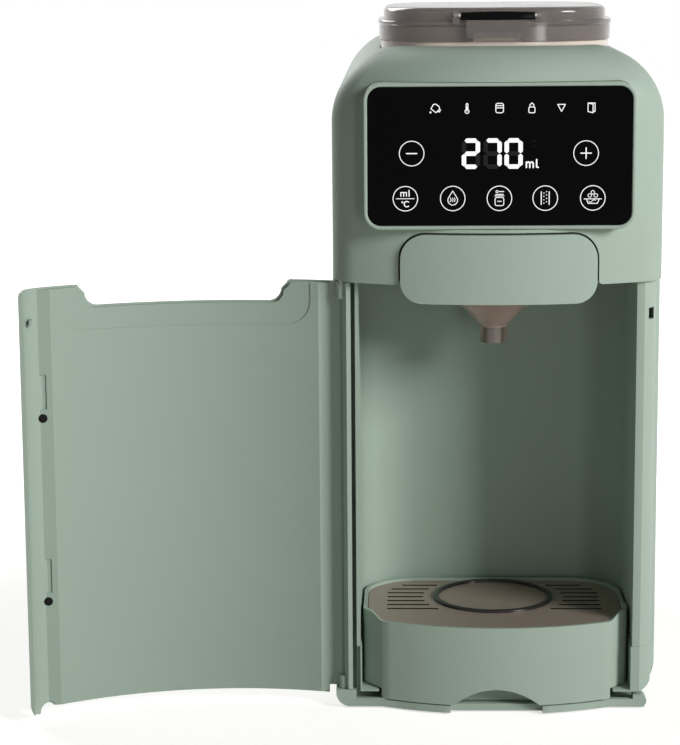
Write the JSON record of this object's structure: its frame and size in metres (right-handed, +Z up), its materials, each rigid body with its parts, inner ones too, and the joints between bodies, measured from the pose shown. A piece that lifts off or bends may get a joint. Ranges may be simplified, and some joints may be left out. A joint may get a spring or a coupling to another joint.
{
  "type": "baby formula maker",
  "caption": "Upright machine that doses milk powder and warm water into a bottle: bowed display head, open bottle chamber with drip tray, hinged door, lift-out hopper and water tank.",
  "frame": {"origin": "on the table, under the centre of the body's outline", "axes": "+X to the right seen from the front, +Y to the rear, +Z up; the front faces -Y"},
  "size_m": [0.347, 0.3134, 0.3885],
  "materials": {
    "green_plastic": "fine satin moulded plastic",
    "inner_green_plastic": "fine satin moulded plastic",
    "smoky_clear": "clear, polished, smoky",
    "pale_clear": "clear, polished, pale pinkish",
    "black_gloss": "polished black",
    "display_black": "black glass with pale lit marks",
    "plate_metal": "satin brown-grey metal",
    "steel": "plain steel",
    "rubber": "matt",
    "silicone": "translucent white silicone",
    "ivory_plastic": "plain moulded plastic",
    "black_plastic": "plain moulded plastic",
    "board": "printed circuit board"
  },
  "bodies": {
    "machine": {"base_plate": "green_plastic", "base_feet": "rubber", "base_screws": "steel", "base_tub": "green_plastic", "body_shell": "green_plastic", "chamber_liner": "inner_green_plastic", "rear_cover": "green_plastic", "cover_screws": "steel", "head_shell": "green_plastic", "head_floor": "inner_green_plastic", "drive_deck": "inner_green_plastic", "shaft_bush": "steel", "dosing_motor": "steel", "display_bezel": "green_plastic", "display_glass": "display_black", "control_board": "board", "board_screws": "steel", "drawer_rails": "inner_green_plastic", "hopper_seal": "rubber", "hot_water_nozzle": "steel", "hot_hose": "silicone", "water_heater": "steel", "pump_hose": "silicone", "water_pump": "black_plastic", "pump_motor": "steel", "suction_hose": "silicone", "power_board": "board", "power_inlet": "black_plastic", "tank_dock": "inner_green_plastic", "hinge_pins": "steel", "catch_plates": "steel", "door_switch": "black_plastic"},
    "door": {"door_skin": "green_plastic", "door_liner": "inner_green_plastic", "door_magnets": "black_plastic"},
    "tray": {"drip_tray": "green_plastic"},
    "plate": {"drip_plate": "plate_metal"},
    "drawer": {"drawer_front": "green_plastic", "drawer_carrier": "inner_green_plastic", "mixing_funnel": "pale_clear", "funnel_outlet": "smoky_clear"},
    "hopper": {"hopper_body": "pale_clear", "scraper_plate": "smoky_clear"},
    "lid": {"hopper_lid": "smoky_clear", "lid_seal": "rubber", "lid_hinge_pin": "steel", "latch_pin": "steel"},
    "latch": {"lid_latch": "black_gloss"},
    "gear": {"drive_gear": "ivory_plastic"},
    "pinion": {"motor_pinion": "ivory_plastic"},
    "rotor": {"metering_wheel": "ivory_plastic", "stirrer": "ivory_plastic"},
    "tank": {"tank_body": "smoky_clear", "tank_valve": "black_plastic", "tank_lid_pins": "steel"},
    "tank_cover": {"tank_lid": "green_plastic"},
    "poppet": {"valve_poppet": "steel"}
  },
  "joints": [
    {"name": "door_hinge", "type": "hinge", "parent": "machine", "child": "door", "pos_m": [-0.0852, -0.1243, 0.12], "axis": [0, 0, -1], "range_deg": [-171, 0]},
    {"name": "tray_slide", "type": "slide", "parent": "machine", "child": "tray", "axis": [0, -1, 0], "range_m": [0, 0.12]},
    {"name": "plate_lift", "type": "slide", "parent": "tray", "child": "plate", "axis": [0, 0, 1], "range_m": [0, 0.06]},
    {"name": "drawer_slide", "type": "slide", "parent": "machine", "child": "drawer", "axis": [0, -1, 0], "range_m": [0, 0.1]},
    {"name": "hopper_lift", "type": "slide", "parent": "machine", "child": "hopper", "axis": [0, 0, 1], "range_m": [0, 0.11]},
    {"name": "lid_hinge", "type": "hinge", "parent": "hopper", "child": "lid", "pos_m": [0, 0.0267, 0.3745], "axis": [-1, 0, 0], "range_deg": [0, 95]},
    {"name": "latch_hinge", "type": "hinge", "parent": "lid", "child": "latch", "pos_m": [0, -0.1124, 0.3843], "axis": [-1, 0, 0], "range_deg": [0, 40]},
    {"name": "gear_spin", "type": "hinge", "parent": "machine", "child": "gear", "pos_m": [0, -0.045, 0.268], "axis": [0, 0, 1], "continuous": true},
    {"name": "pinion_spin", "type": "hinge", "parent": "machine", "child": "pinion", "pos_m": [0, -0.016, 0.268], "axis": [0, 0, 1], "continuous": true},
    {"name": "rotor_spin", "type": "hinge", "parent": "hopper", "child": "rotor", "pos_m": [0, -0.045, 0.286], "axis": [0, 0, 1], "continuous": true},
    {"name": "tank_lift", "type": "slide", "parent": "machine", "child": "tank", "axis": [0, 0, 1], "range_m": [0, 0.15]},
    {"name": "tank_lid_hinge", "type": "hinge", "parent": "tank", "child": "tank_cover", "pos_m": [0, 0.1388, 0.3672], "axis": [-1, 0, 0], "range_deg": [0, 85]},
    {"name": "poppet_lift", "type": "slide", "parent": "tank", "child": "poppet", "axis": [0, 0, 1], "range_m": [0, 0.003], "stiffness_N_per_m": 100, "springref_m": -0.005}
  ],
  "couplings": [
    {"joint": "pinion_spin", "follows": "gear_spin", "ratio": -3.1429},
    {"joint": "rotor_spin", "follows": "gear_spin", "ratio": 1}
  ]
}
